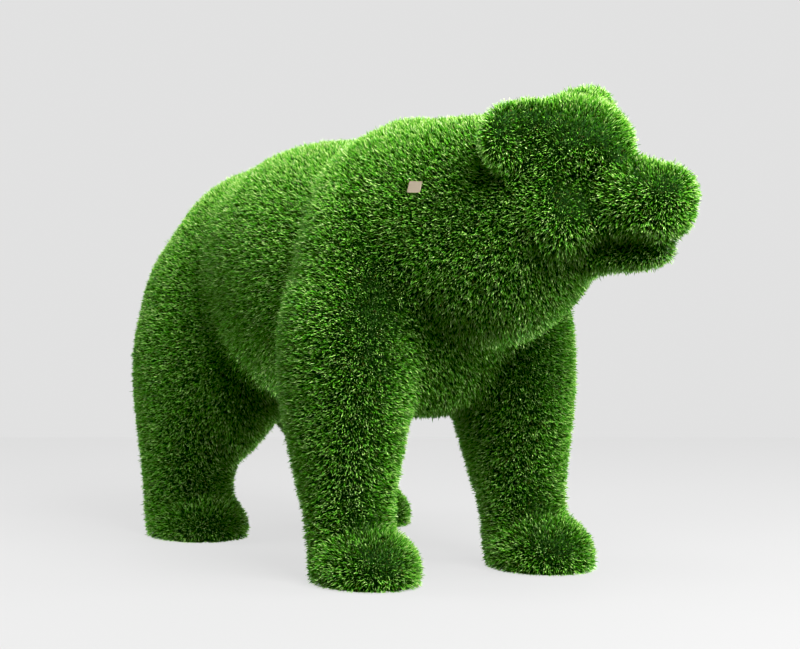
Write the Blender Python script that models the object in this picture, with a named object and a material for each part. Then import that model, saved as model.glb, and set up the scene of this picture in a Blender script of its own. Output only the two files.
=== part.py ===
"""A topiary bear on four feet, covered in artificial turf, with a small blank plate on its neck.

The bear faces -Y, its left side is at +X and the floor is Z = 0. The origin is on the floor, under
the middle of the whole figure. Its surface is the surface that the tips of the turf pile make.

A figure is one free form, so its masses and their places are shares of its height: 100 is HEIGHT.
A place is (forward, left, up) from the middle of the four feet. The head's own places count from the
middle of its skull, and turn with it.
"""

import math

import bmesh
import bpy
import numpy as np
from mathutils import Matrix, Vector
from mathutils.bvhtree import BVHTree

# The figure, in metres
HEIGHT = 1.25
SHARE = HEIGHT / 100

# The plate and the pocket in the pile that it lies in, in metres
PLATE_WIDTH = 0.040
PLATE_HEIGHT = 0.030
PLATE_THICKNESS = 0.003
PLATE_CORNER = 0.003
CORNER_STEPS = 4
PLATE_PROUD = 0.001
PLATE_CLEARANCE = 0.0003

# Where the line through the plate's middle starts inside the neck, and how that line runs: degrees
# from the right side towards the front, and degrees upwards
PLATE_LINE_START = (48.3, -1.4, 73.9)
PLATE_TURN = 22
PLATE_RISE = 20

# The clay's grain, the rounds of smoothing it gets, and how finely its masses and the solid are cut
BODY_GRAIN = 1.2
BODY_MELT = 16
HEAD_GRAIN = 0.9
HEAD_MELT = 5
RING_SIDES = 32
RINGS_A_STATION = 4
BEAR_TRIANGLES = 8200

# The trunk: a place and three half sizes (length, width, height)
TRUNK = (
    ((-3, 0, 59.8), (50, 28.0, 30.4)),
    ((-36.5, 0, 55.0), (28.3, 26.2, 29.8)),
    ((32, 0, 60.5), (22, 24.5, 29.5)),
    ((29, 0, 77.0), (17, 16.0, 17.3)),
)

# What each side has, with its place on the left side
HAUNCH = ((-38, 15.0, 44.0), (24.5, 16.0, 29.0))
SHOULDER = ((32, 15.0, 58.0), (18, 13.5, 25.0))
FORE_PAW = ((44.2, 20.9, 3.0), (13.8, 11.1, 9.5))
HIND_PAW = ((-33.7, 21.5, 2.5), (14.0, 11.5, 8.8))

# A leg's stations from the foot up: a place and its half sizes (length, width)
FORE_LEG = (
    ((38.5, 20.8, 1.0), (9.0, 9.0)),
    ((37.7, 20.8, 12.0), (9.5, 9.5)),
    ((36.1, 20.6, 18.0), (10.8, 10.4)),
    ((35.0, 20.2, 30.0), (14.4, 12.3)),
    ((33.7, 19.1, 42.0), (17.7, 13.8)),
    ((33.0, 17.0, 58.0), (17.5, 13.5)),
    ((32.0, 11.0, 78.0), (9.0, 6.0)),
)
HIND_LEG = (
    ((-38.0, 21.5, 1.0), (11.0, 10.5)),
    ((-38.5, 21.5, 11.0), (11.0, 10.5)),
    ((-39.0, 21.0, 20.0), (12.3, 11.5)),
    ((-39.0, 19.5, 34.0), (17.5, 13.8)),
    ((-38.0, 17.0, 50.0), (20.0, 14.5)),
    ((-37.0, 13.0, 68.0), (14.0, 9.0)),
)

# The neck's stations from the shoulders to the skull: a place and its half sizes (width, height)
NECK = (
    ((28, 0.0, 69.0), (24.0, 24.0)),
    ((42, 2.0, 69.8), (22.5, 24.0)),
    ((54, 6.0, 71.3), (19.3, 23.2)),
    ((67, 10.2, 79.0), (14.0, 17.2)),
)

# The head: where it is, how it is held, and its masses as for the trunk
SKULL_PLACE = (70, 11, 83.7)
HEAD_YAW = 17
HEAD_PITCH = 0
HEAD_ROLL = 9
HEAD = (
    ((0, 0, 0), (15, 14.0, 14.0)),
    ((13, 0, -6.3), (13, 9.2, 8.2)),
    ((22.6, 0, -6.2), (6.1, 7.1, 6.5)),
    ((20.8, 0, -10.4), (6.5, 7.4, 5.6)),
    ((12, 0, -11.0), (13.5, 8.2, 5.6)),
    ((10, 0, -17.1), (13.8, 5.8, 4.5)),
    ((2, 0, -13.8), (10, 8.5, 9.0)),
)
CHEEK = ((0, 8.0, -8.0), (12, 8.0, 11.0))
CROWN = ((-3, 7.5, 6.3), (8, 6.5, 8.2))
BROW = ((6.3, 4.8, 4.0), (6, 5.0, 4.5))
EAR = ((-4.0, 12.7, 7.0), (5.2, 7.9, 7.5))
EAR_TURN = 9

# Hollows of the eyes, the ears and the mouth's line, on each side: a place, the way it faces, its radius
# and its depth
HOLLOWS = (
    ((11.0, 8.6, -2.4), (1.0, 0.9, 0.0), 5.6, 3.8),
    ((1.6, 13.2, 7.4), (1.0, 0.16, 0.0), 3.8, 1.2),
    ((25.5, 2.0, -15.6), (1.0, 0.2, 0.1), 2.2, 1.6),
    ((20.5, 5.6, -15.6), (0.6, 1.0, 0.0), 2.6, 2.0),
    ((14.5, 7.0, -15.4), (0.1, 1.0, 0.0), 2.8, 2.2),
    ((8.5, 8.0, -15.0), (0.0, 1.0, 0.0), 2.8, 2.2),
    ((3.0, 9.5, -14.4), (0.0, 1.0, 0.0), 2.6, 1.6),
)


def place(forward, left, up):
    """A point of the figure, in metres."""
    return Vector((left, -forward, up)) * SHARE


def head_frame():
    """The head's frame: a local point (forward, left, up), given as place() gives it, goes to its place."""
    yaw = Matrix.Rotation(math.radians(HEAD_YAW), 4, "Z")
    pitch = Matrix.Rotation(math.radians(-HEAD_PITCH), 4, "X")
    roll = Matrix.Rotation(math.radians(-HEAD_ROLL), 4, "Y")
    return Matrix.Translation(place(*SKULL_PLACE)) @ yaw @ pitch @ roll


def on_both_sides(mass):
    """A mass and its twin across the figure's middle plane."""
    (forward, left, up), sizes = mass
    return [((forward, left, up), sizes), ((forward, -left, up), sizes)]


def add_mass(clay, mass, frame=Matrix()):
    """An ellipsoid with half sizes (length, width, height) round its place."""
    middle, (length, width, height) = mass
    sizes = Vector((width, length, height)) * SHARE
    matrix = frame @ Matrix.Translation(place(*middle)) @ Matrix.Diagonal(sizes.to_4d())
    bmesh.ops.create_uvsphere(clay, u_segments=RING_SIDES, v_segments=RING_SIDES // 2, radius=1, matrix=matrix)


def smooth_stations(stations):
    """More rows between the given rows of numbers, on Catmull-Rom curves through them."""
    rows = np.array(stations, float)
    rows = np.vstack([2 * rows[0] - rows[1], rows, 2 * rows[-1] - rows[-2]])
    made = []
    for before, start, end, after in zip(rows[:-3], rows[1:-2], rows[2:-1], rows[3:]):
        t = np.arange(RINGS_A_STATION)[:, None] / RINGS_A_STATION
        made.append(
            0.5
            * (
                2 * start
                + (end - before) * t
                + (2 * before - 5 * start + 4 * end - after) * t**2
                + (3 * start - before - 3 * end + after) * t**3
            )
        )
    made.append(rows[-2:-1])
    return np.vstack(made)


def add_leg(clay, stations, side):
    """A leg: level oval rings through its stations, bridged and closed at both ends."""
    rows = smooth_stations([(*middle, *sizes) for middle, sizes in stations])
    rings = []
    for forward, left, up, length, width in rows:
        ring = []
        for step in range(RING_SIDES):
            angle = 2 * math.pi * step / RING_SIDES
            spot = place(forward + length * math.cos(angle), side * left + width * math.sin(angle), up)
            ring.append(clay.verts.new(spot))
        rings.append(ring)
    for low, high in zip(rings, rings[1:]):
        for step in range(RING_SIDES):
            after = (step + 1) % RING_SIDES
            clay.faces.new((low[step], low[after], high[after], high[step]))
    clay.faces.new(rings[0][::-1])
    clay.faces.new(rings[-1])


def add_neck(clay):
    """The neck: a row of balls close enough to melt into one tapered form."""
    for forward, left, up, width, height in smooth_stations([(*middle, *sizes) for middle, sizes in NECK]):
        add_mass(clay, ((forward, left, up), (width, width, height)))


def evaluated_mesh(name, mesh, modifiers):
    """The mesh after the modifiers, each given as (type, settings)."""
    obj = bpy.data.objects.new(name, mesh)
    bpy.context.scene.collection.objects.link(obj)
    for kind, settings in modifiers:
        modifier = obj.modifiers.new(kind.title(), kind)
        for setting, value in settings.items():
            setattr(modifier, setting, value)
    graph = bpy.context.evaluated_depsgraph_get()
    made = bpy.data.meshes.new_from_object(obj.evaluated_get(graph))
    bpy.data.objects.remove(obj)
    return made


def melted(name, clay, grain, rounds):
    """One closed skin round all the overlapping masses, with the creases between them filled softly."""
    bmesh.ops.recalc_face_normals(clay, faces=clay.faces)
    mesh = bpy.data.meshes.new(name)
    clay.to_mesh(mesh)
    clay.free()
    remesh = {"mode": "VOXEL", "voxel_size": grain * SHARE, "adaptivity": 0.0}
    return evaluated_mesh(name, mesh, [("REMESH", remesh), ("SMOOTH", {"factor": 0.5, "iterations": rounds})])


def body_mesh():
    """The trunk, neck and legs."""
    clay = bmesh.new()
    for mass in TRUNK:
        add_mass(clay, mass)
    for mass in (HAUNCH, SHOULDER):
        for twin in on_both_sides(mass):
            add_mass(clay, twin)
    for side in (1, -1):
        add_leg(clay, FORE_LEG, side)
        add_leg(clay, HIND_LEG, side)
    add_neck(clay)
    return melted("body_clay", clay, BODY_GRAIN, BODY_MELT)


def bear_mesh():
    """The body with the head's masses and the paws, melted together once more."""
    clay = bmesh.new()
    clay.from_mesh(body_mesh())
    frame = head_frame()
    for mass in HEAD:
        add_mass(clay, mass, frame)
    for mass in (CHEEK, CROWN, BROW):
        for twin in on_both_sides(mass):
            add_mass(clay, twin, frame)
    for side in (1, -1):
        (forward, left, up), sizes = EAR
        turned = Matrix.Translation(place(forward, side * left, up))
        turned @= Matrix.Rotation(math.radians(side * EAR_TURN), 4, "Z")
        add_mass(clay, ((0, 0, 0), sizes), frame @ turned)
    for mass in (FORE_PAW, HIND_PAW):
        for twin in on_both_sides(mass):
            add_mass(clay, twin)
    return melted("bear_clay", clay, HEAD_GRAIN, HEAD_MELT)


def pressed(mesh):
    """The mesh with its hollows: each pushes in with the shape of a bell curve."""
    frame = head_frame()
    points = np.empty(len(mesh.vertices) * 3)
    mesh.vertices.foreach_get("co", points)
    points = points.reshape(-1, 3)
    for spot, facing, radius, depth in HOLLOWS:
        for side in (1, -1):
            middle = frame @ place(spot[0], side * spot[1], spot[2])
            outward = (frame.to_3x3() @ place(facing[0], side * facing[1], facing[2])).normalized()
            away = np.linalg.norm(points - np.array(middle), axis=1) / (radius * SHARE)
            points -= depth * SHARE * np.exp(-(away**2))[:, None] * np.array(outward)
    mesh.vertices.foreach_set("co", points.ravel())
    return mesh


def thinned(mesh, triangles):
    """The mesh with fewer triangles, kept where it curves most."""
    mesh.calc_loop_triangles()
    settings = {"ratio": triangles / len(mesh.loop_triangles), "use_collapse_triangulate": True}
    return evaluated_mesh("thinned", mesh, [("DECIMATE", settings)])


def cut_at_floor(mesh):
    """Everything below the floor goes, and each foot gets a flat sole."""
    bear = bmesh.new()
    bear.from_mesh(mesh)
    everything = bear.verts[:] + bear.edges[:] + bear.faces[:]
    cut = bmesh.ops.bisect_plane(
        bear, geom=everything, dist=1e-5, plane_co=(0, 0, 0), plane_no=(0, 0, 1), clear_inner=True
    )
    rim = [part for part in cut["geom_cut"] if isinstance(part, bmesh.types.BMEdge)]
    bmesh.ops.edgeloop_fill(bear, edges=rim)
    bmesh.ops.recalc_face_normals(bear, faces=bear.faces)
    bear.to_mesh(mesh)
    bear.free()
    return mesh


def plate_outline(width, height, corner):
    """A rectangle with rounded corners, as points (across, up) round its middle."""
    points = []
    for number, (right, top) in enumerate(((1, 1), (-1, 1), (-1, -1), (1, -1))):
        for step in range(CORNER_STEPS + 1):
            angle = math.pi / 2 * (number + step / CORNER_STEPS)
            across = right * (width / 2 - corner) + corner * math.cos(angle)
            up = top * (height / 2 - corner) + corner * math.sin(angle)
            points.append((across, up))
    return points


def plate_block(name, grown, low, high, frame):
    """The plate's outline, grown by a distance, drawn out from low to high along the frame's Z."""
    outline = plate_outline(PLATE_WIDTH + 2 * grown, PLATE_HEIGHT + 2 * grown, PLATE_CORNER + grown)
    block = bmesh.new()
    base = block.faces.new([block.verts.new((across, up, low)) for across, up in outline])
    drawn = bmesh.ops.extrude_face_region(block, geom=[base])
    top = [item for item in drawn["geom"] if isinstance(item, bmesh.types.BMVert)]
    bmesh.ops.translate(block, verts=top, vec=(0, 0, high - low))
    bmesh.ops.recalc_face_normals(block, faces=block.faces)
    block.transform(frame)
    mesh = bpy.data.meshes.new(name)
    block.to_mesh(mesh)
    block.free()
    return mesh


def plate_frame(mesh):
    """Where the plate's middle line leaves the neck: X along the plate, Y up it and Z straight out."""
    turn = math.radians(PLATE_TURN)
    rise = math.radians(PLATE_RISE)
    out = Vector((-math.cos(turn) * math.cos(rise), -math.sin(turn) * math.cos(rise), math.sin(rise)))
    skin = BVHTree.FromPolygons([vert.co for vert in mesh.vertices], [face.vertices for face in mesh.polygons])
    spot = skin.ray_cast(place(*PLATE_LINE_START), out)[0]
    across = Vector((0, 0, 1)).cross(out).normalized()
    frame = Matrix((across, out.cross(across), out)).transposed().to_4x4()
    frame.translation = spot
    return frame


def principled(name, colour, roughness, metallic=0.0):
    """A plain material."""
    material = bpy.data.materials.new(name)
    material.use_nodes = True
    shader = material.node_tree.nodes["Principled BSDF"]
    shader.inputs["Base Color"].default_value = (*colour, 1)
    shader.inputs["Roughness"].default_value = roughness
    shader.inputs["Metallic"].default_value = metallic
    return material


def add_object(name, mesh, material):
    """A named object in the scene."""
    mesh.materials.clear()
    mesh.materials.append(material)
    obj = bpy.data.objects.new(name, mesh)
    bpy.context.scene.collection.objects.link(obj)
    return obj


def cut_with(obj, cutter):
    """The object without the space that the hidden cutter fills."""
    cutter.hide_render = True
    cutter.display_type = "WIRE"
    cut = obj.modifiers.new("Pocket", "BOOLEAN")
    cut.operation = "DIFFERENCE"
    cut.solver = "EXACT"
    cut.object = cutter


def main():
    for obj in list(bpy.data.objects):
        bpy.data.objects.remove(obj)
    turf = principled("artificial_turf", (0.07, 0.22, 0.03), 0.6)
    brass = principled("pale_brass", (0.75, 0.65, 0.48), 0.3, metallic=1.0)

    mesh = cut_at_floor(thinned(pressed(bear_mesh()), BEAR_TRIANGLES))
    frame = plate_frame(mesh)
    back = PLATE_PROUD - PLATE_THICKNESS
    bear = add_object("turf_bear", mesh, turf)
    plate_mesh = plate_block("badge_plate", 0, back, PLATE_PROUD, frame)
    plate = add_object("badge_plate", plate_mesh, brass)
    pocket_floor = back - PLATE_CLEARANCE
    pocket_mesh = plate_block("pocket_cutter", PLATE_CLEARANCE, pocket_floor, 10 * PLATE_THICKNESS, frame)
    pocket = add_object("pocket_cutter", pocket_mesh, brass)
    cut_with(bear, pocket)

    # The origin goes under the middle of the whole figure
    corners = np.array([vert.co for vert in mesh.vertices])
    middle = (corners.min(axis=0) + corners.max(axis=0)) / 2
    for obj in (bear, plate, pocket):
        obj.data.transform(Matrix.Translation((-middle[0], -middle[1], 0)))


main()
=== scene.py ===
# %% [markdown]
# # A topiary bear covered in artificial turf
#
# The real figure is a light shell with artificial grass stuck all over it, the kind that is sold for
# lawns and shop windows. From a few metres away the eye reads two things: the soft animal form, and
# thousands of short plastic blades that stand out from it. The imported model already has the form, so
# this lesson keeps that form as a dark backing and grows the blades on it.

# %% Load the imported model
import math

import bmesh
import bpy
import numpy as np
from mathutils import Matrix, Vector


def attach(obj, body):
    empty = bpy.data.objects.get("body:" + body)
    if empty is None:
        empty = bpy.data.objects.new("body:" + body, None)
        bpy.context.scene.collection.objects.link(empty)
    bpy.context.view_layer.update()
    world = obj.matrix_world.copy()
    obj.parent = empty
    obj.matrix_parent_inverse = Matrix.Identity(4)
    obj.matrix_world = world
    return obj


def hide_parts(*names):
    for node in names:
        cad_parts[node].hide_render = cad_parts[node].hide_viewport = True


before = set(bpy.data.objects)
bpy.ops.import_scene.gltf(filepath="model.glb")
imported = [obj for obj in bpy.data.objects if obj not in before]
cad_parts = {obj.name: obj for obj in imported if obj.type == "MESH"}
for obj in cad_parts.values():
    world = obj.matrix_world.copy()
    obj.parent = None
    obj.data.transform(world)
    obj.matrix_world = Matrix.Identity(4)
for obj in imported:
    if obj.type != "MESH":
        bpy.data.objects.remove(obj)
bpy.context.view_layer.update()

# %% [markdown]
# ## Helpers
#
# Colours are picked as sRGB hex values, as a colour picker shows them, and Blender shades in linear
# light, so one function turns the first into the second. Another adds a shader node with its settings
# and links in one call, which keeps each material short enough to read.

# %% Colours and shader nodes
def linear(hex_colour):
    """The hex colour as linear red, green, blue and alpha 1, by the sRGB curve."""
    values = [int(hex_colour[start : start + 2], 16) / 255 for start in (1, 3, 5)]
    return (*[v / 12.92 if v <= 0.04045 else ((v + 0.055) / 1.055) ** 2.4 for v in values], 1.0)


def add_node(tree, kind, links=None, **settings):
    """A new node. settings are its own properties, links go from its sockets to values or other sockets."""
    node = tree.nodes.new(kind)
    for name, value in settings.items():
        setattr(node, name, value)
    for socket, value in (links or {}).items():
        if isinstance(value, bpy.types.NodeSocket):
            tree.links.new(value, node.inputs[socket])
        else:
            node.inputs[socket].default_value = value
    return node


def new_material(name):
    """An empty material and its node tree."""
    material = bpy.data.materials.new(name)
    material.use_nodes = True
    material.node_tree.nodes.clear()
    return material, material.node_tree


def ramp(tree, value, stops):
    """A colour ramp read at value, with stops as (place, hex colour). Returns its colour socket."""
    node = add_node(tree, "ShaderNodeValToRGB", {"Fac": value})
    elements = node.color_ramp.elements
    for number, (place, colour) in enumerate(stops):
        element = elements[number] if number < 2 else elements.new(place)
        element.position = place
        element.color = linear(colour)
    return node.outputs["Color"]


print("middle grey #808080 is", round(linear("#808080")[0], 3), "in linear light")

# %% [markdown]
# ## The skin of the pile
#
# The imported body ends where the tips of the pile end. It is cut into a few thousand flat triangles,
# which would show as facets in the way the blades stand. A subdivision and a little smoothing make one
# soft skin of it. Its loose triangles are merged at their corners first, or else the smoothing would pull
# them apart. The arrays of the skin's points and triangles are all that the next steps need.

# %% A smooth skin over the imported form
MERGE_DISTANCE = 1e-5
SUBDIVISIONS = 1
SMOOTH_SHARE = 0.5
SMOOTH_ROUNDS = 3


def soft_skin(node):
    """Points (n, 3) and triangles (m, 3) of the node's mesh, subdivided and smoothed."""
    mesh = node.data.copy()
    shape = bmesh.new()
    shape.from_mesh(mesh)
    bmesh.ops.remove_doubles(shape, verts=shape.verts, dist=MERGE_DISTANCE)
    shape.to_mesh(mesh)
    shape.free()
    obj = bpy.data.objects.new("soft_skin", mesh)
    bpy.context.scene.collection.objects.link(obj)
    divide = obj.modifiers.new("Divide", "SUBSURF")
    divide.levels = divide.render_levels = SUBDIVISIONS
    smooth = obj.modifiers.new("Smooth", "SMOOTH")
    smooth.factor = SMOOTH_SHARE
    smooth.iterations = SMOOTH_ROUNDS
    made = bpy.data.meshes.new_from_object(obj.evaluated_get(bpy.context.evaluated_depsgraph_get()))
    made.calc_loop_triangles()
    points = np.empty(len(made.vertices) * 3)
    made.vertices.foreach_get("co", points)
    triangles = np.empty(len(made.loop_triangles) * 3, dtype=np.int32)
    made.loop_triangles.foreach_get("vertices", triangles)
    bpy.data.objects.remove(obj)
    bpy.data.meshes.remove(made)
    return points.reshape(-1, 3), triangles.reshape(-1, 3)


skin, skin_triangles = soft_skin(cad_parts["turf_bear"])
print("skin", len(skin), "points", len(skin_triangles), "triangles")

# %% [markdown]
# ## Which way is out
#
# A blade stands along the normal of its place. The normal of a point is the sum of the normals of the
# triangles round it, and a triangle's cross product already has its area in its length. Turf bends only
# as sharply as its backing, so the normals are then averaged with their neighbours a few times.

# %% Smooth normals
COMB_ROUNDS = 4


def unit(vectors):
    """Each row at length 1."""
    return vectors / np.maximum(np.linalg.norm(vectors, axis=-1, keepdims=True), 1e-12)


def point_normals(points, triangles, rounds):
    """Area-weighted normals of the points, averaged along the triangles' edges so many rounds."""
    a, b, c = (points[triangles[:, corner]] for corner in range(3))
    face = np.cross(b - a, c - a)
    normals = np.zeros_like(points)
    for corner in range(3):
        np.add.at(normals, triangles[:, corner], face)
    normals = unit(normals)
    for _ in range(rounds):
        spread = normals.copy()
        for start, end in ((0, 1), (1, 2), (2, 0)):
            np.add.at(spread, triangles[:, start], normals[triangles[:, end]])
            np.add.at(spread, triangles[:, end], normals[triangles[:, start]])
        normals = unit(spread)
    return normals


skin_normals = point_normals(skin, skin_triangles, COMB_ROUNDS)
print("normals of", len(skin_normals), "points")

# %% [markdown]
# ## The backing
#
# Lawn turf is a woven backing with the pile standing in it. The backing lies one pile height under the
# tips, so its mesh is the skin moved in along the normals. The soles are an exception. The figure
# stands on them with no pile under it, so at the floor the backing moves sideways only. The change from
# one to the other takes place over the lowest 30 mm.

# %% The backing lies a pile height deeper
PILE_HEIGHT = 0.0235
FLOOR_ZONE = 0.030


def sunk(points, normals, depth):
    """Each point moved in by depth, with the upward part of the move faded out towards the floor.

    That part is multiplied by the smooth step t * t * (3 - 2 * t), where t is the height as a share of
    FLOOR_ZONE, and 1 above it.
    """
    move = -depth * normals
    share = np.clip(points[:, 2] / FLOOR_ZONE, 0, 1)
    move[:, 2] *= share * share * (3 - 2 * share)
    return points + move


backing = sunk(skin, skin_normals, PILE_HEIGHT)
print("backing lies", PILE_HEIGHT * 1000, "mm under the tips")


def add_mesh(name, points, faces):
    """A mesh object at the origin, from an array of points and an array of faces."""
    mesh = bpy.data.meshes.new(name)
    count, sides = faces.shape
    mesh.vertices.add(len(points))
    mesh.vertices.foreach_set("co", points.astype(np.float32).ravel())
    mesh.loops.add(count * sides)
    mesh.loops.foreach_set("vertex_index", faces.astype(np.int32).ravel())
    mesh.polygons.add(count)
    mesh.polygons.foreach_set("loop_start", np.arange(0, count * sides, sides, dtype=np.int32))
    mesh.update(calc_edges=True)
    mesh.validate()
    obj = bpy.data.objects.new(name, mesh)
    bpy.context.scene.collection.objects.link(obj)
    return obj


# %% [markdown]
# ## Colour of the grass
#
# The blades are polyethylene ribbon, dyed in several greens in one yarn, with some straw-coloured fibres
# low in the pile that stand for dry thatch. Light and shade in the pile are painted along each blade. The
# tips are painted pale, a painted highlight for the light that catches them. The roots are painted deep
# green, a painted shade for the little light, already turned green, that reaches down into the pile. So a
# blade's colour is a tone, the same from root to tip, times a value of painted light that goes from deep
# green to white along it. Both are stored as the blade's own UV: U is the tone and V runs from root to tip.
#
# Vertex colours would do as well, but a UV map keeps the ramps in the material, where they are easy to
# change. Smooth ribbon is a little glossy, but deep in the pile nothing bright is left for it to mirror, so
# the gloss fades out towards the roots. The woven backing is nearly black and is seen as specks only. It
# has no gloss at all, and its colour is faintly uneven.

# %% Materials of the turf
GLOSS_START = 0.4
GLOSS_END = 0.9
TIP_GLOSS = 0.4
STAIN_SPACING = 0.006


def turf_blade_material():
    """Dyed polyethylene ribbon with a few straw-coloured fibres, glossy at the tips, with a painted
    highlight that makes the tips pale and painted shade that makes the roots deep green.
    """
    material, tree = new_material("polyethylene_turf_blade")
    uv = add_node(tree, "ShaderNodeUVMap", uv_map="OFBake")
    split = add_node(tree, "ShaderNodeSeparateXYZ", {"Vector": uv.outputs["UV"]})
    tones = [
        (0.00, "#8f7d45"),
        (0.085, "#7d7a36"),
        (0.09, "#468c18"),
        (0.40, "#64a02a"),
        (0.75, "#90b65c"),
        (1.00, "#c6d4a6"),
    ]
    tone = ramp(tree, split.outputs["X"], tones)
    # Painted light along each blade: painted shade, deep green, at the root, rising to a near-white painted
    # highlight at the tip.
    lights = [
        (0.0, "#0e2a08"),
        (0.45, "#346418"),
        (0.72, "#bcd0a8"),
        (0.95, "#f2f6ea"),
    ]
    light = ramp(tree, split.outputs["Y"], lights)
    # The mix node has its colours at inputs 6 and 7 and at output 2, after those of its other data types.
    mixed = add_node(tree, "ShaderNodeMix", data_type="RGBA", blend_type="MULTIPLY")
    mixed.inputs["Factor"].default_value = 1.0
    tree.links.new(tone, mixed.inputs[6])
    tree.links.new(light, mixed.inputs[7])
    gloss = add_node(
        tree,
        "ShaderNodeMapRange",
        {
            "Value": split.outputs["Y"],
            "From Min": GLOSS_START,
            "From Max": GLOSS_END,
            "To Min": 0.0,
            "To Max": TIP_GLOSS,
        },
    )
    shader = add_node(
        tree,
        "ShaderNodeBsdfPrincipled",
        {
            "Base Color": mixed.outputs[2],
            "Roughness": 0.40,
            "IOR": 1.5,
            "Specular IOR Level": gloss.outputs["Result"],
        },
    )
    add_node(tree, "ShaderNodeOutputMaterial", {"Surface": shader.outputs["BSDF"]})
    return material


def backing_material():
    """A woven backing, so dark a green that the specks of it between the roots read as deep shade."""
    material, tree = new_material("woven_turf_backing")
    place = add_node(tree, "ShaderNodeTexCoord").outputs["Object"]
    stain = add_node(tree, "ShaderNodeTexNoise", {"Vector": place, "Scale": 1 / STAIN_SPACING})
    colour = ramp(tree, stain.outputs["Fac"], [(0.35, "#16280e"), (0.65, "#22401a")])
    shader = add_node(
        tree,
        "ShaderNodeBsdfPrincipled",
        {
            "Base Color": colour,
            "Roughness": 0.9,
            "Specular IOR Level": 0.0,
        },
    )
    add_node(tree, "ShaderNodeOutputMaterial", {"Surface": shader.outputs["BSDF"]})
    return material


blade_finish = turf_blade_material()
backing_finish = backing_material()
print("finishes", blade_finish.name, backing_finish.name)

# %% The backing's piece
backing_piece = add_mesh("turf_backing", backing, skin_triangles)
backing_piece.data.materials.append(backing_finish)
backing_piece.data.shade_smooth()
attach(backing_piece, "root")
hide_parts("turf_bear")
print("backing", len(backing_piece.data.polygons), "triangles")

# %% [markdown]
# ## Where the tufts are stitched
#
# A tufting machine stitches several ribbons through the backing at one point. The points are picked so
# that each has about the same area. The triangles are laid end to end by area, that line is cut into as
# many equal lengths as there are tufts, and one point is taken at random in each length. Where the form
# bulges, the tips have more room than the roots, so a triangle's area is the geometric mean of the two.
#
# Random places inside the triangles would clump here and leave gaps there, which a tufting machine never
# does. Counting up by two fixed irrational steps and keeping the fractions spreads them evenly.

# %% Pick the tufts
TUFTS = 118_000
BLADES_A_TUFT = 4
EVEN_STEPS = np.array([0.7548777, 0.5698403])
random = np.random.default_rng(20)


def double_areas(points, triangles):
    """Twice the area of each triangle: the length of the cross product of two of its edges."""
    a, b, c = (points[triangles[:, corner]] for corner in range(3))
    return np.linalg.norm(np.cross(b - a, c - a), axis=1)


def tuft_points(points, tips, normals, triangles, count):
    """Places and normals of count tufts, spread evenly over the triangles.

    A place is first * a + second * b + the rest * c for the corners a, b and c of its triangle. The
    square root in first keeps the places from crowding at corner a.
    """
    ends = np.cumsum(np.sqrt(double_areas(points, triangles) * double_areas(tips, triangles)))
    spots = (np.arange(count) + random.random(count)) * (ends[-1] / count)
    chosen = triangles[np.minimum(np.searchsorted(ends, spots), len(triangles) - 1)]
    step = np.arange(count)[:, None] * EVEN_STEPS % 1.0
    first = 1 - np.sqrt(step[:, 0])
    second = step[:, 1] * (1 - first)
    weights = np.stack([first, second, 1 - first - second], axis=1)[:, :, None]
    return (points[chosen] * weights).sum(axis=1), unit((normals[chosen] * weights).sum(axis=1))


print("tufts to place", TUFTS, "with", BLADES_A_TUFT, "blades each")

# %% Leave the soles bare and stitch the rest
SOLE_HEIGHT = 0.004
FACING_DOWN = -0.5

low_enough = backing[skin_triangles][:, :, 2].max(axis=1) < SOLE_HEIGHT
faces_down = skin_normals[skin_triangles].mean(axis=1)[:, 2] < FACING_DOWN
on_sole = low_enough & faces_down
roots, outs = tuft_points(backing, skin, skin_normals, skin_triangles[~on_sole], TUFTS)
print("tufts", len(roots), "and triangles on the soles without pile", int(on_sole.sum()))

# %% [markdown]
# ## Grow the blades
#
# Blender's hair would be the quick way, but it isn't a mesh, so each blade is one here. It is a kite of
# two triangles: a root, the two edges at its widest, and a tip. It leans by a bit that it shares with its
# tuft and a bit of its own, its end bends away from its lower part, and its own weight pulls it down a
# little. Thatch fibres are shorter and lie askew between the others. A blade is drawn a little wider
# than the real 1.5 mm, because the eye takes several that cling together for one. Everything is worked
# out for all blades at once.

# %% Shape the blades
BLADE_LENGTH = 0.0252
SHORTEST = 0.86
LONGER = 0.22
BLADE_WIDTH = 0.0021
TUFT_LEAN = 0.03
BLADE_LEAN = 0.16
BEND = 0.24
SAG = 0.07
WIDEST = 0.74
THATCH_SHARE = 0.09
THATCH_LEAN = 0.6
THATCH_LENGTH = 0.6
TUFT_SPREAD = 0.0035


def grown_blades(roots, outs):
    """Points (n, 4, 3) of the kites, as root, right edge, left edge and tip, and their tones (n,).

    The middle is the root plus the lower part's length along low, the edges are half a width to either
    side of it, and the tip is the middle plus the rest of the length along high.
    """
    count = len(roots) * BLADES_A_TUFT
    lean = TUFT_LEAN * random.standard_normal((len(roots), 3))
    root = np.repeat(roots, BLADES_A_TUFT, axis=0) + TUFT_SPREAD * random.standard_normal((count, 3))
    out = np.repeat(outs, BLADES_A_TUFT, axis=0)
    down = np.array([0, 0, -1.0])
    tone = random.random(count)
    thatch = (tone < THATCH_SHARE)[:, None]
    own_lean = np.where(thatch, THATCH_LEAN, BLADE_LEAN) * random.standard_normal((count, 3))
    low = unit(out + np.repeat(lean, BLADES_A_TUFT, axis=0) + own_lean + SAG * down)
    high = unit(low + BEND * random.standard_normal((count, 3)) + SAG * down)
    length = BLADE_LENGTH * (SHORTEST + LONGER * random.random((count, 1)))
    length = np.where(thatch, THATCH_LENGTH * length, length)
    edge = unit(np.cross(low, random.standard_normal((count, 3)))) * BLADE_WIDTH / 2
    middle = root + low * length * WIDEST
    tip = middle + high * length * (1 - WIDEST)
    return np.stack([root, middle + edge, middle - edge, tip], axis=1), tone


print("blades about", BLADE_LENGTH * 1000, "mm long and", BLADE_WIDTH * 1000, "mm wide")

# %% Grow them and keep them off the floor
FLOOR_CLEARANCE = 0.0015

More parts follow.
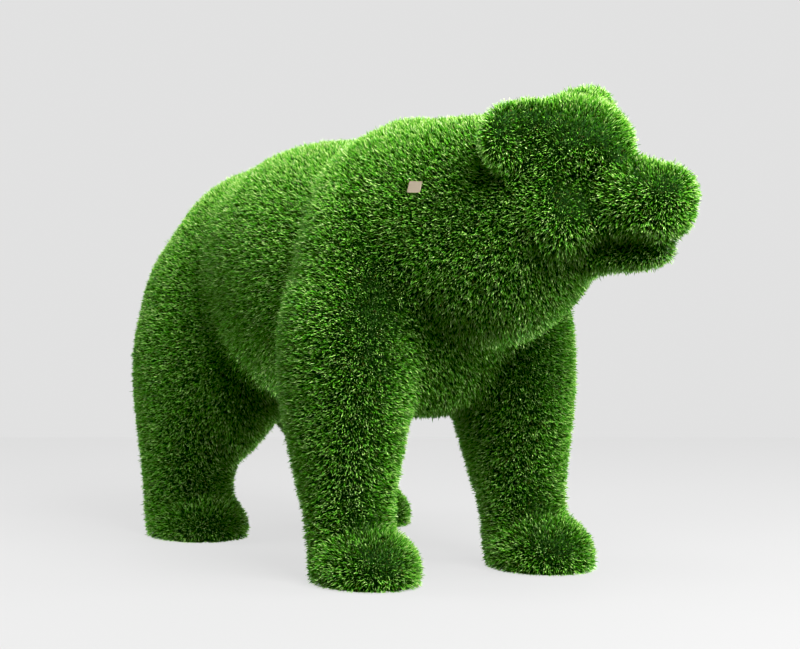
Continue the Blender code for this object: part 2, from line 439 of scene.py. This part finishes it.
blades, tones = grown_blades(roots, outs)
blades[:, :, 2] = np.maximum(blades[:, :, 2], FLOOR_CLEARANCE)
lowest, highest = blades.min(axis=(0, 1)), blades.max(axis=(0, 1))
print("blades", len(blades), "from", lowest.round(3), "to", highest.round(3))

# %% [markdown]
# ## The plate keeps the pile off
#
# A small plate is set in the pile on the neck. Blades that would stand in front of it are left out, and
# a few at its edges still lean over it, as they do on the real one. The test is made in the plate's own
# directions: its normal is the direction in which its box of points is thinnest.

# %% Clear the blades off the plate
OVERHANG = 0.004

plate_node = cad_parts["badge_plate"]
plate_points = np.array([vertex.co for vertex in plate_node.data.vertices])
plate_middle = (plate_points.min(axis=0) + plate_points.max(axis=0)) / 2
plate_axes = np.linalg.svd(plate_points - plate_middle, full_matrices=False)[2]
plate_halves = np.abs((plate_points - plate_middle) @ plate_axes.T).max(axis=0)

local = (blades - plate_middle) @ plate_axes.T
inside = (np.abs(local[..., :2]) < plate_halves[:2] - OVERHANG).all(axis=-1)
near = np.abs(local[..., 2]) < 2 * BLADE_LENGTH
over_plate = (inside & near).any(axis=1)
blades, tones = blades[~over_plate], tones[~over_plate]
print("plate is", (2000 * plate_halves).round(1), "mm and clears", int(over_plate.sum()), "blades")

# %% [markdown]
# ## Five pieces of pile
#
# One mesh of all the blades would be too heavy for most programs, so they are shared out from the nose
# to the rump, an equal number each. Each piece gets the UV map that its material reads. In it a blade is a
# very narrow kite, because a baked texture can't fill one that has no width.

# %% Make the pile meshes
PILE_NAMES = ("pile_head", "pile_neck", "pile_shoulders", "pile_flanks", "pile_rump")
TONE_WIDTH = 0.002
TONE_ENDS = (0.001, 0.999)
ROOT_PLACE = 0.01
TIP_PLACE = 0.99


def add_pile(name, blades, tones):
    """The kites as two triangles each, with the tone as U and the way from root to tip as V."""
    first = np.arange(len(blades))[:, None] * 4
    faces = np.concatenate([first + [0, 1, 2], first + [2, 1, 3]], axis=1).reshape(-1, 3)
    pile = add_mesh(name, blades.reshape(-1, 3), faces)
    across = np.clip(tones[:, None] + np.array([0, TONE_WIDTH, -TONE_WIDTH, 0]), *TONE_ENDS)
    along = np.broadcast_to(np.array([ROOT_PLACE, WIDEST, WIDEST, TIP_PLACE]), across.shape)
    point_uv = np.stack([across, along], axis=2).reshape(-1, 2)
    layer = pile.data.uv_layers.new(name="OFBake")
    layer.data.foreach_set("uv", point_uv[faces.ravel()].astype(np.float32).ravel())
    pile.data.materials.append(blade_finish)
    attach(pile, "root")
    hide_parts("turf_bear")
    return pile


order = np.argsort(blades[:, 0, 1], kind="stable")
for name, share in zip(PILE_NAMES, np.array_split(order, len(PILE_NAMES))):
    pile = add_pile(name, blades[share], tones[share])
    print(name, len(pile.data.polygons), "triangles")

# %% [markdown]
# ## The plate
#
# The plate is a thin pressing of pale brass, brushed along its length and dulled by the weather.
# Brushing leaves fine lines, which spread a reflection across them, so the roughness and a faint bump
# both follow a noise that is stretched along the plate. Real lines are about 0.1 mm apart. The plate is
# only a few pixels wide in the picture, so they are drawn 0.5 mm apart.
#
# Its edges are rounded a little by a bevel, because a pressed edge catches the light and a perfectly
# sharp one never does. The flat faces are joined first, so that the bevel follows real edges only.

# %% The plate's finish
BRUSH_SPACING = 0.0005
BRUSH_LENGTH = 0.010
PLATE_HEADING = math.atan2(plate_axes[0][1], plate_axes[0][0])


def plate_material():
    """Brushed brass, gone dull: a soft pale sheen with faint lines along the plate."""
    material, tree = new_material("brushed_pale_brass")
    place = add_node(tree, "ShaderNodeTexCoord").outputs["Object"]
    turned = add_node(tree, "ShaderNodeMapping", {"Vector": place, "Rotation": (0, 0, -PLATE_HEADING)})
    scale = (1 / BRUSH_LENGTH, 1 / BRUSH_SPACING, 1 / BRUSH_SPACING)
    drawn = add_node(tree, "ShaderNodeMapping", {"Vector": turned.outputs["Vector"], "Scale": scale})
    lines = add_node(tree, "ShaderNodeTexNoise", {"Vector": drawn.outputs["Vector"], "Scale": 1.0})
    line = lines.outputs["Fac"]
    dull = add_node(tree, "ShaderNodeMapRange", {"Value": line, "To Min": 0.45, "To Max": 0.65})
    bump = add_node(tree, "ShaderNodeBump", {"Height": line, "Strength": 0.15, "Distance": 0.0001})
    shader = add_node(
        tree,
        "ShaderNodeBsdfPrincipled",
        {
            "Base Color": linear("#8f8576"),
            "Metallic": 1.0,
            "Roughness": dull.outputs["Result"],
            "Normal": bump.outputs["Normal"],
        },
    )
    add_node(tree, "ShaderNodeOutputMaterial", {"Surface": shader.outputs["BSDF"]})
    return material


plate_finish = plate_material()
print("brushed at", round(math.degrees(PLATE_HEADING), 1), "degrees")

# %% The plate's piece
FLAT_ANGLE = 0.01
EDGE_ROUNDING = 0.0006

plate_mesh = plate_node.data.copy()
plate_shape = bmesh.new()
plate_shape.from_mesh(plate_mesh)
bmesh.ops.remove_doubles(plate_shape, verts=plate_shape.verts, dist=MERGE_DISTANCE)
bmesh.ops.dissolve_limit(
    plate_shape, angle_limit=FLAT_ANGLE, verts=plate_shape.verts, edges=plate_shape.edges
)
plate_shape.to_mesh(plate_mesh)
plate_shape.free()
plate = bpy.data.objects.new("plate", plate_mesh)
bpy.context.scene.collection.objects.link(plate)
plate_mesh.materials.clear()
plate_mesh.materials.append(plate_finish)
round_edges = plate.modifiers.new("Edges", "BEVEL")
round_edges.width = EDGE_ROUNDING
round_edges.segments = 3
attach(plate, "root")
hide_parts("badge_plate")
print("plate", len(plate_mesh.polygons), "faces")

# %% [markdown]
# ## Floor and wall
#
# The studio is a pale floor that ends some metres behind the figure, in front of a pale wall. The wall is
# the world's own colour, so only the floor needs a mesh. White studio floors are lit so strongly from all
# round that shadows on them stay faint. Most of this floor's brightness is therefore its own glow, and
# only a small part of it depends on the lamps and can be shaded.

# %% Floor
CAMERA_PLACE = Vector((-3.0439, -5.3414, 0.945))
CAMERA_TURN = 30
FLOOR_BEHIND = 9.35
FLOOR_FRONT = 6
FLOOR_SIDE = 9
FLOOR_WHITE = 0.045
FLOOR_GLOW = 0.64


def floor_material():
    """Matt white paint: a pale, even ground on which shadows stay faint."""
    material, tree = new_material("matt_white_floor")
    shader = add_node(
        tree,
        "ShaderNodeBsdfPrincipled",
        {
            "Base Color": (FLOOR_WHITE, FLOOR_WHITE, FLOOR_WHITE, 1),
            "Roughness": 0.7,
            "IOR": 1.2,
            "Emission Color": (1, 1, 1, 1),
            "Emission Strength": FLOOR_GLOW,
        },
    )
    add_node(tree, "ShaderNodeOutputMaterial", {"Surface": shader.outputs["BSDF"]})
    return material


def floor_corners():
    """The four corners: the point under the camera, plus or minus steps along and across its view."""
    turn = math.radians(CAMERA_TURN)
    ahead = np.array([math.sin(turn), math.cos(turn), 0])
    side = FLOOR_SIDE * np.array([math.cos(turn), -math.sin(turn), 0])
    ground = np.array([CAMERA_PLACE.x, CAMERA_PLACE.y, 0])
    front = ground - FLOOR_FRONT * ahead
    behind = ground + FLOOR_BEHIND * ahead
    return np.array([front - side, front + side, behind + side, behind - side])


floor = add_mesh("floor", floor_corners(), np.array([[0, 1, 2, 3]]))
floor.data.materials.append(floor_material())
print("floor ends", FLOOR_BEHIND, "m from the camera")

# %% [markdown]
# ## Light
#
# The light is a studio's: a big softbox high in front of the figure, weaker ones at its two sides, and a
# reflector near the floor that lifts the chin and the chest. The room adds its own light, which is stronger
# from behind, where the pale wall stands, and gives the pile its bright edges. What the camera sees behind
# the figure stays one even grey, so the world asks whether a ray comes straight from the camera. Soft
# lamps suit turf, because a hard one would turn every blade into a white line.

# %% The room's light
ROOM_FRONT = 0.10
ROOM_BACK = 0.53
FRONT_ENDS = -0.4
BACK_STARTS = 0.6
WALL_COLOUR = "#e0e0e0"


def studio_world():
    """Light that rises from ROOM_FRONT to ROOM_BACK with the direction's Y, and an even wall to look at."""
    world = bpy.data.worlds.new("studio")
    world.use_nodes = True
    tree = world.node_tree
    tree.nodes.clear()
    seen = add_node(tree, "ShaderNodeLightPath").outputs["Is Camera Ray"]
    way = add_node(tree, "ShaderNodeTexCoord").outputs["Generated"]
    depth = add_node(tree, "ShaderNodeSeparateXYZ", {"Vector": way}).outputs["Y"]
    ends = {"From Min": FRONT_ENDS, "From Max": BACK_STARTS, "To Min": ROOM_FRONT, "To Max": ROOM_BACK}
    strength = add_node(tree, "ShaderNodeMapRange", {"Value": depth, **ends}).outputs["Result"]
    room = add_node(tree, "ShaderNodeBackground", {"Color": (1, 1, 1, 1), "Strength": strength})
    wall = add_node(tree, "ShaderNodeBackground", {"Color": linear(WALL_COLOUR), "Strength": 1.0})
    both = add_node(tree, "ShaderNodeMixShader", {0: seen, 1: room.outputs[0], 2: wall.outputs[0]})
    add_node(tree, "ShaderNodeOutputWorld", {"Surface": both.outputs[0]})
    return world


bpy.context.scene.world = studio_world()
print("room light from", ROOM_FRONT, "in front to", ROOM_BACK, "behind")


# %% Lamps
def add_lamp(name, place, aim, size, power):
    """A rectangular soft lamp at place that shines at aim."""
    lamp = bpy.data.lights.new(name, "AREA")
    lamp.shape = "RECTANGLE"
    lamp.size, lamp.size_y = size
    lamp.energy = power
    obj = bpy.data.objects.new(name, lamp)
    obj.location = place
    obj.rotation_mode = "QUATERNION"
    obj.rotation_quaternion = (Vector(aim) - Vector(place)).to_track_quat("-Z", "Y")
    obj.visible_camera = False
    bpy.context.scene.collection.objects.link(obj)


add_lamp("front_softbox", (0.2, -2.6, 3.4), (0.1, -1.0, 1.0), (2.8, 2.8), 670)
add_lamp("right_softbox", (3.4, -2.2, 1.5), (0.1, -0.8, 1.0), (2.2, 2.2), 280)
add_lamp("floor_reflector", (2.2, -2.4, 0.3), (0.3, -1.0, 1.1), (1.6, 1.0), 115)
add_lamp("left_softbox", (-2.8, 1.7, 0.9), (0, 0, 0.7), (1.8, 1.5), 220)
print("lamps", sorted(lamp.name for lamp in bpy.data.lights))

# %% [markdown]
# ## Camera
#
# The camera stands at the height of a photographer's chest and looks slightly down, from the figure's
# right and ahead. Photographs are graded, and here the darkest tones were cut to black, which also makes
# deep greens purer. A tone curve in the view settings does the same, with its black level a little above
# zero.

# %% Camera and grading
CAMERA_DIP = 2.96
CAMERA_LENS = 103.5
BLACK_LEVEL = 0.004
TONE_CURVE = ((0.0, 0.0), (0.10, 0.075), (0.45, 0.46), (1.0, 1.0))

camera_data = bpy.data.cameras.new("camera")
camera_data.lens = CAMERA_LENS
camera_data.sensor_width = 36
camera_data.clip_end = 100
camera = bpy.data.objects.new("camera", camera_data)
camera.location = CAMERA_PLACE
camera.rotation_euler = (math.radians(90 - CAMERA_DIP), 0, math.radians(-CAMERA_TURN))
bpy.context.scene.collection.objects.link(camera)
bpy.context.scene.camera = camera

view = bpy.context.scene.view_settings
view.view_transform = "Standard"
view.use_curve_mapping = True
view.curve_mapping.black_level = (BLACK_LEVEL, BLACK_LEVEL, BLACK_LEVEL)
points = view.curve_mapping.curves[3].points
for number, place in enumerate(TONE_CURVE):
    point = points[number] if number < 2 else points.new(*place)
    point.location = place
view.curve_mapping.update()
print("camera at", [round(value, 3) for value in CAMERA_PLACE])
